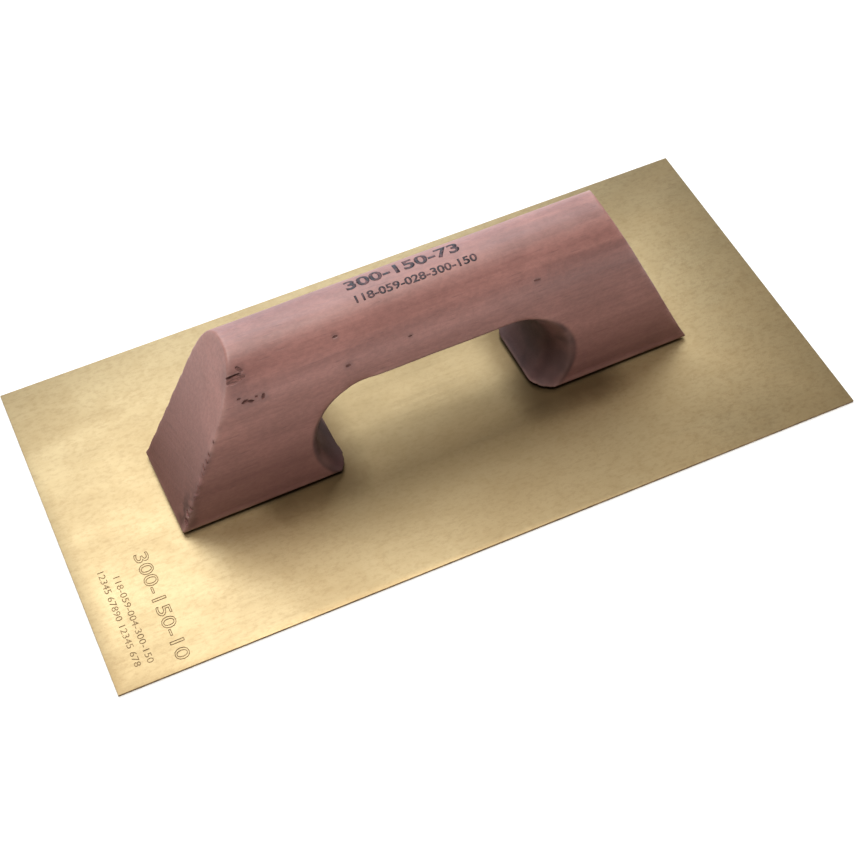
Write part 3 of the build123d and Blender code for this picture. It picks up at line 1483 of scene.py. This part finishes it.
@dataclass
class SheetBlade:
    """Thin bronze sheet with square corners, countersunk holes and etched numerals."""

    edge_break: float = 0.10 * MM
    head_radius: float = 4.2 * MM
    mark_depth: float = 0.14 * MM

    def __post_init__(self) -> None:
        """Reads the sheet's corners from the frame."""
        self.low, self.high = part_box("blade")

    def build(self) -> Piece:
        """Models the blade.

        Returns:
            The finished piece.
        """
        sheet = add_block("sheet_blade", self.low, self.high)
        with editing(sheet):
            bpy.ops.mesh.select_all(action="SELECT")
            bpy.ops.mesh.bevel(offset=self.edge_break, segments=2, affect="EDGES")
        for cutter in chain(self.countersinks(), self.marks()):
            cut_away(sheet, cutter)
        take_up(sheet)
        bpy.ops.object.shade_smooth_by_angle(angle=math.radians(25))
        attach(sheet, BODY)
        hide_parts("blade")
        LOG.info("blade: %d faces", len(sheet.data.polygons))
        return sheet

    def countersinks(self) -> Iterable[Piece]:
        """The screws' countersunk holes.

        Yields:
            One cone for each screw.
        """
        margin = 0.5 * MM
        thickness = self.high.z - self.low.z
        for _, low, high in screw_boxes():
            clear_selection()
            bpy.ops.mesh.primitive_cone_add(
                vertices=64,
                radius1=self.head_radius + margin,
                radius2=self.head_radius - thickness - margin,
                depth=thickness + 2 * margin,
                location=((low.x + high.x) / 2, (low.y + high.y) / 2, thickness / 2),
            )
            cone = bpy.context.object
            freeze_place(cone)
            yield cone

    def marks(self) -> Iterable[Piece]:
        """The etched numerals by the heel's front corner.

        Yields:
            One cutter for each line of numerals.
        """
        for text, x, y, height, length, outline in (
            ("300-150-10", -126.4, -46.0, 5.4, 50.0, 0.14),
            ("118-059-004-300-150", -136.3, -47.0, 2.6, 40.0, 0.0),
            ("12345 67890 12345 678", -141.0, -44.5, 2.6, 44.0, 0.0),
        ):
            middle = Vector((x, y, 0)) * MM
            line = Numerals(text, middle, height * MM, length * MM, turn=-90, outline=outline * MM)
            yield line.build(self.high.z, self.mark_depth)


@dataclass
class Studio:
    """Pale floor, soft lights and the camera."""

    eye: Vector = Vector((-0.1595, -0.4184, 0.5586))
    target: Vector = Vector((-0.0035, -0.0134, 0.0))
    roll: float = math.radians(-3.99)
    lens: float = 76.85
    floor_half: float = 3.0

    def build(self) -> None:
        """Sets up the floor, the lights, the world and the camera."""
        self.lay_floor()
        self.hang_lights()
        self.tone_world()
        self.set_camera()
        bpy.context.scene.view_settings.view_transform = "Standard"
        LOG.info("studio ready")

    def lay_floor(self) -> None:
        """A large pale floor just under the blade."""
        clear_selection()
        level = cad_bounds[0].z - 0.05 * MM
        bpy.ops.mesh.primitive_plane_add(size=2 * self.floor_half, location=(0, 0, level))
        floor = bpy.context.object
        floor.name = "floor"
        freeze_place(floor)
        material, _, shader = new_material("pale_floor")
        shader.inputs["Base Color"].default_value = (0.86, 0.855, 0.85, 1)
        shader.inputs["Roughness"].default_value = 0.9
        shader.inputs["Emission Color"].default_value = (1, 1, 1, 1)
        shader.inputs["Emission Strength"].default_value = 0.15
        floor.data.materials.append(material)

    def hang_lights(self) -> None:
        """A large soft box behind, one overhead, a low panel behind and a weak light on the near left."""
        self.soft_box("behind", (0.12, 1.43, 1.92), 1.9, 50.0, (0.88, 0.95, 1.0))
        self.soft_box("overhead", (-0.12, -0.30, 2.25), 0.9, 33.0, (1.0, 0.97, 0.92))
        self.soft_box("low_back", (0.45, 2.3, 0.5), 1.0, 9.0, (0.62, 0.80, 1.0))
        self.soft_box("near_fill", (-1.9, -0.7, 1.3), 1.4, 1.5, (1.0, 0.95, 0.90))

    def soft_box(self, name: str, place: tuple[float, float, float], side: float, power: float,
                 colour: tuple[float, float, float]) -> None:
        """Hangs one square light that faces the tool.

        Args:
            name: the light's name.
            place: where it hangs.
            side: its side in metres.
            power: its power in watts.
            colour: its colour.
        """
        data = bpy.data.lights.new(name, "AREA")
        data.shape = "SQUARE"
        data.size = side
        data.energy = power
        data.color = colour
        light = bpy.data.objects.new(name, data)
        light.location = place
        light.rotation_euler = (-Vector(place)).to_track_quat("-Z", "Y").to_euler()
        bpy.context.scene.collection.objects.link(light)

    def tone_world(self) -> None:
        """An even pale surround."""
        world = bpy.data.worlds.new("surround")
        world.use_nodes = True
        background = next(n for n in world.node_tree.nodes if n.type == "BACKGROUND")
        background.inputs["Color"].default_value = (1.0, 0.95, 0.87, 1)
        background.inputs["Strength"].default_value = 0.22
        bpy.context.scene.world = world

    def set_camera(self) -> None:
        """Places the camera on the near left, above the blade."""
        data = bpy.data.cameras.new("camera")
        data.lens = self.lens
        data.sensor_width = 36.0
        data.clip_start = 0.01
        camera = bpy.data.objects.new("camera", data)
        camera.location = self.eye
        look = (self.target - self.eye).to_track_quat("-Z", "Y").to_matrix().to_4x4()
        spin = Matrix.Rotation(self.roll, 4, "Z")
        camera.matrix_world = Matrix.Translation(self.eye) @ look @ spin
        bpy.context.scene.collection.objects.link(camera)
        bpy.context.scene.camera = camera


@dataclass
class HandlePrint:
    """Two lines of stamped numerals along the top of the handle."""

    thickness: float = 0.03 * MM

    def build(self, wood: Piece) -> list[Piece]:
        """Models both lines and lays them on the wood.

        Args:
            wood: the finished handle.

        Returns:
            The two pieces.
        """
        pieces = []
        for name, text, x, y, height, length, weight in (
            ("print_large", "300-150-73", -1.5, 3.4, 5.2, 45.0, 0.20),
            ("print_small", "118-059-028-300-150", 0.5, -3.0, 3.0, 48.0, 0.10),
        ):
            line = Numerals(text, Vector((x, y, 0)) * MM, height * MM, length * MM, weight=weight * MM)
            pieces.append(self.stamp(wood, name, line))
        return pieces

    def stamp(self, wood: Piece, name: str, line: Numerals) -> Piece:
        """Wraps one line of numerals over the crown.

        Args:
            wood: the finished handle.
            name: the piece's name.
            line: the numerals.

        Returns:
            The piece.
        """
        numerals = line.build(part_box("handle")[1].z + 5 * MM, 0.0)
        numerals.name = name
        self.slice_across(numerals)
        use_modifier(
            numerals, "SHRINKWRAP", target=wood, wrap_method="PROJECT", use_project_z=True,
            use_negative_direction=True, use_positive_direction=False, offset=0.015 * MM,
        )
        use_modifier(numerals, "SOLIDIFY", thickness=self.thickness, offset=1.0)
        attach(numerals, BODY)
        LOG.info("%s: %d faces", name, len(numerals.data.polygons))
        return numerals

    def slice_across(self, numerals: Piece) -> None:
        """Cuts the flat numerals into strips, so that they can follow the crown.

        Args:
            numerals: the flat line of numerals.
        """
        strip = 0.5 * MM
        places = vertex_places(numerals)
        with editing(numerals):
            for axis, normal, step in ((1, Vector((0, 1, 0)), strip), (0, Vector((1, 0, 0)), 3 * strip)):
                low, high = places[:, axis].min(), places[:, axis].max()
                count = int((high - low) / step)
                for index in range(1, count + 1):
                    bpy.ops.mesh.select_all(action="SELECT")
                    bpy.ops.mesh.bisect(plane_co=normal * (low + index * step), plane_no=normal)


class TrowelFinish:
    """Gives every piece its finish."""

    def __init__(self) -> None:
        """Builds the shared effects and the materials."""
        effects = Effects(FibreEffect(), MottleEffect())
        self.wood = StainedWood().make(effects)
        self.torn = TornWood().make(effects)
        self.bronze = RolledBronze().make(effects)
        etched = DullMetal("etched_bronze", (0.25, 0.165, 0.085, 1), (0.13, 0.080, 0.042, 1))
        # near-black plates: painted shade standing in for the dark gap under the feet
        packing = DullMetal("packing_painted_shade", (0.085, 0.060, 0.034, 1), (0.030, 0.021, 0.013, 1))
        turned = DullMetal("turned_brass", (0.78, 0.58, 0.28, 1), (0.62, 0.43, 0.18, 1), (0.28, 0.42), 0.0003)
        self.etched, self.plate, self.screw = (metal.make(effects) for metal in (etched, packing, turned))
        self.ink = WornInk().make(effects)

    def dress_blade(self, sheet: Piece) -> None:
        """Rolled bronze on the sheet and dark bronze in its etched marks and cut edges.

        Args:
            sheet: the blade.
        """
        self.coat(sheet, self.bronze)
        sheet.data.materials.append(self.etched)
        skin = 0.02 * MM
        low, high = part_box("blade")
        for face in sheet.data.polygons:
            inside = low.z + skin < face.center.z < high.z - skin
            face.material_index = 1 if inside else 0

    def dress_wood(self, wood: Piece) -> None:
        """Stained wood, and bare dark wood in the nicks.

        Args:
            wood: the handle.
        """
        wood.data.materials[0] = self.wood
        wood.data.materials[1] = self.torn

    def dress_packed(self) -> None:
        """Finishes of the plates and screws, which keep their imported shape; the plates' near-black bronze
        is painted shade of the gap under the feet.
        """
        for name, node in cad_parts.items():
            if name.endswith("_plate"):
                self.coat(node, self.plate)
            elif name.endswith("_screw"):
                self.coat(node, self.screw)

    def coat(self, piece: Piece, material: Material) -> None:
        """Puts one material on a whole piece."""
        piece.data.materials.clear()
        piece.data.materials.append(material)


def main() -> None:
    """Builds the trowel piece by piece, dresses it and sets the studio up."""
    logging.basicConfig(level=logging.INFO, format="%(message)s")
    finish = TrowelFinish()
    sheet = SheetBlade().build()
    finish.dress_blade(sheet)
    wood = BridgeHandle().build()
    finish.dress_wood(wood)
    for numerals in HandlePrint().build(wood):
        finish.coat(numerals, finish.ink)
    finish.dress_packed()
    Studio().build()


if __name__ == "__main__":
    main()
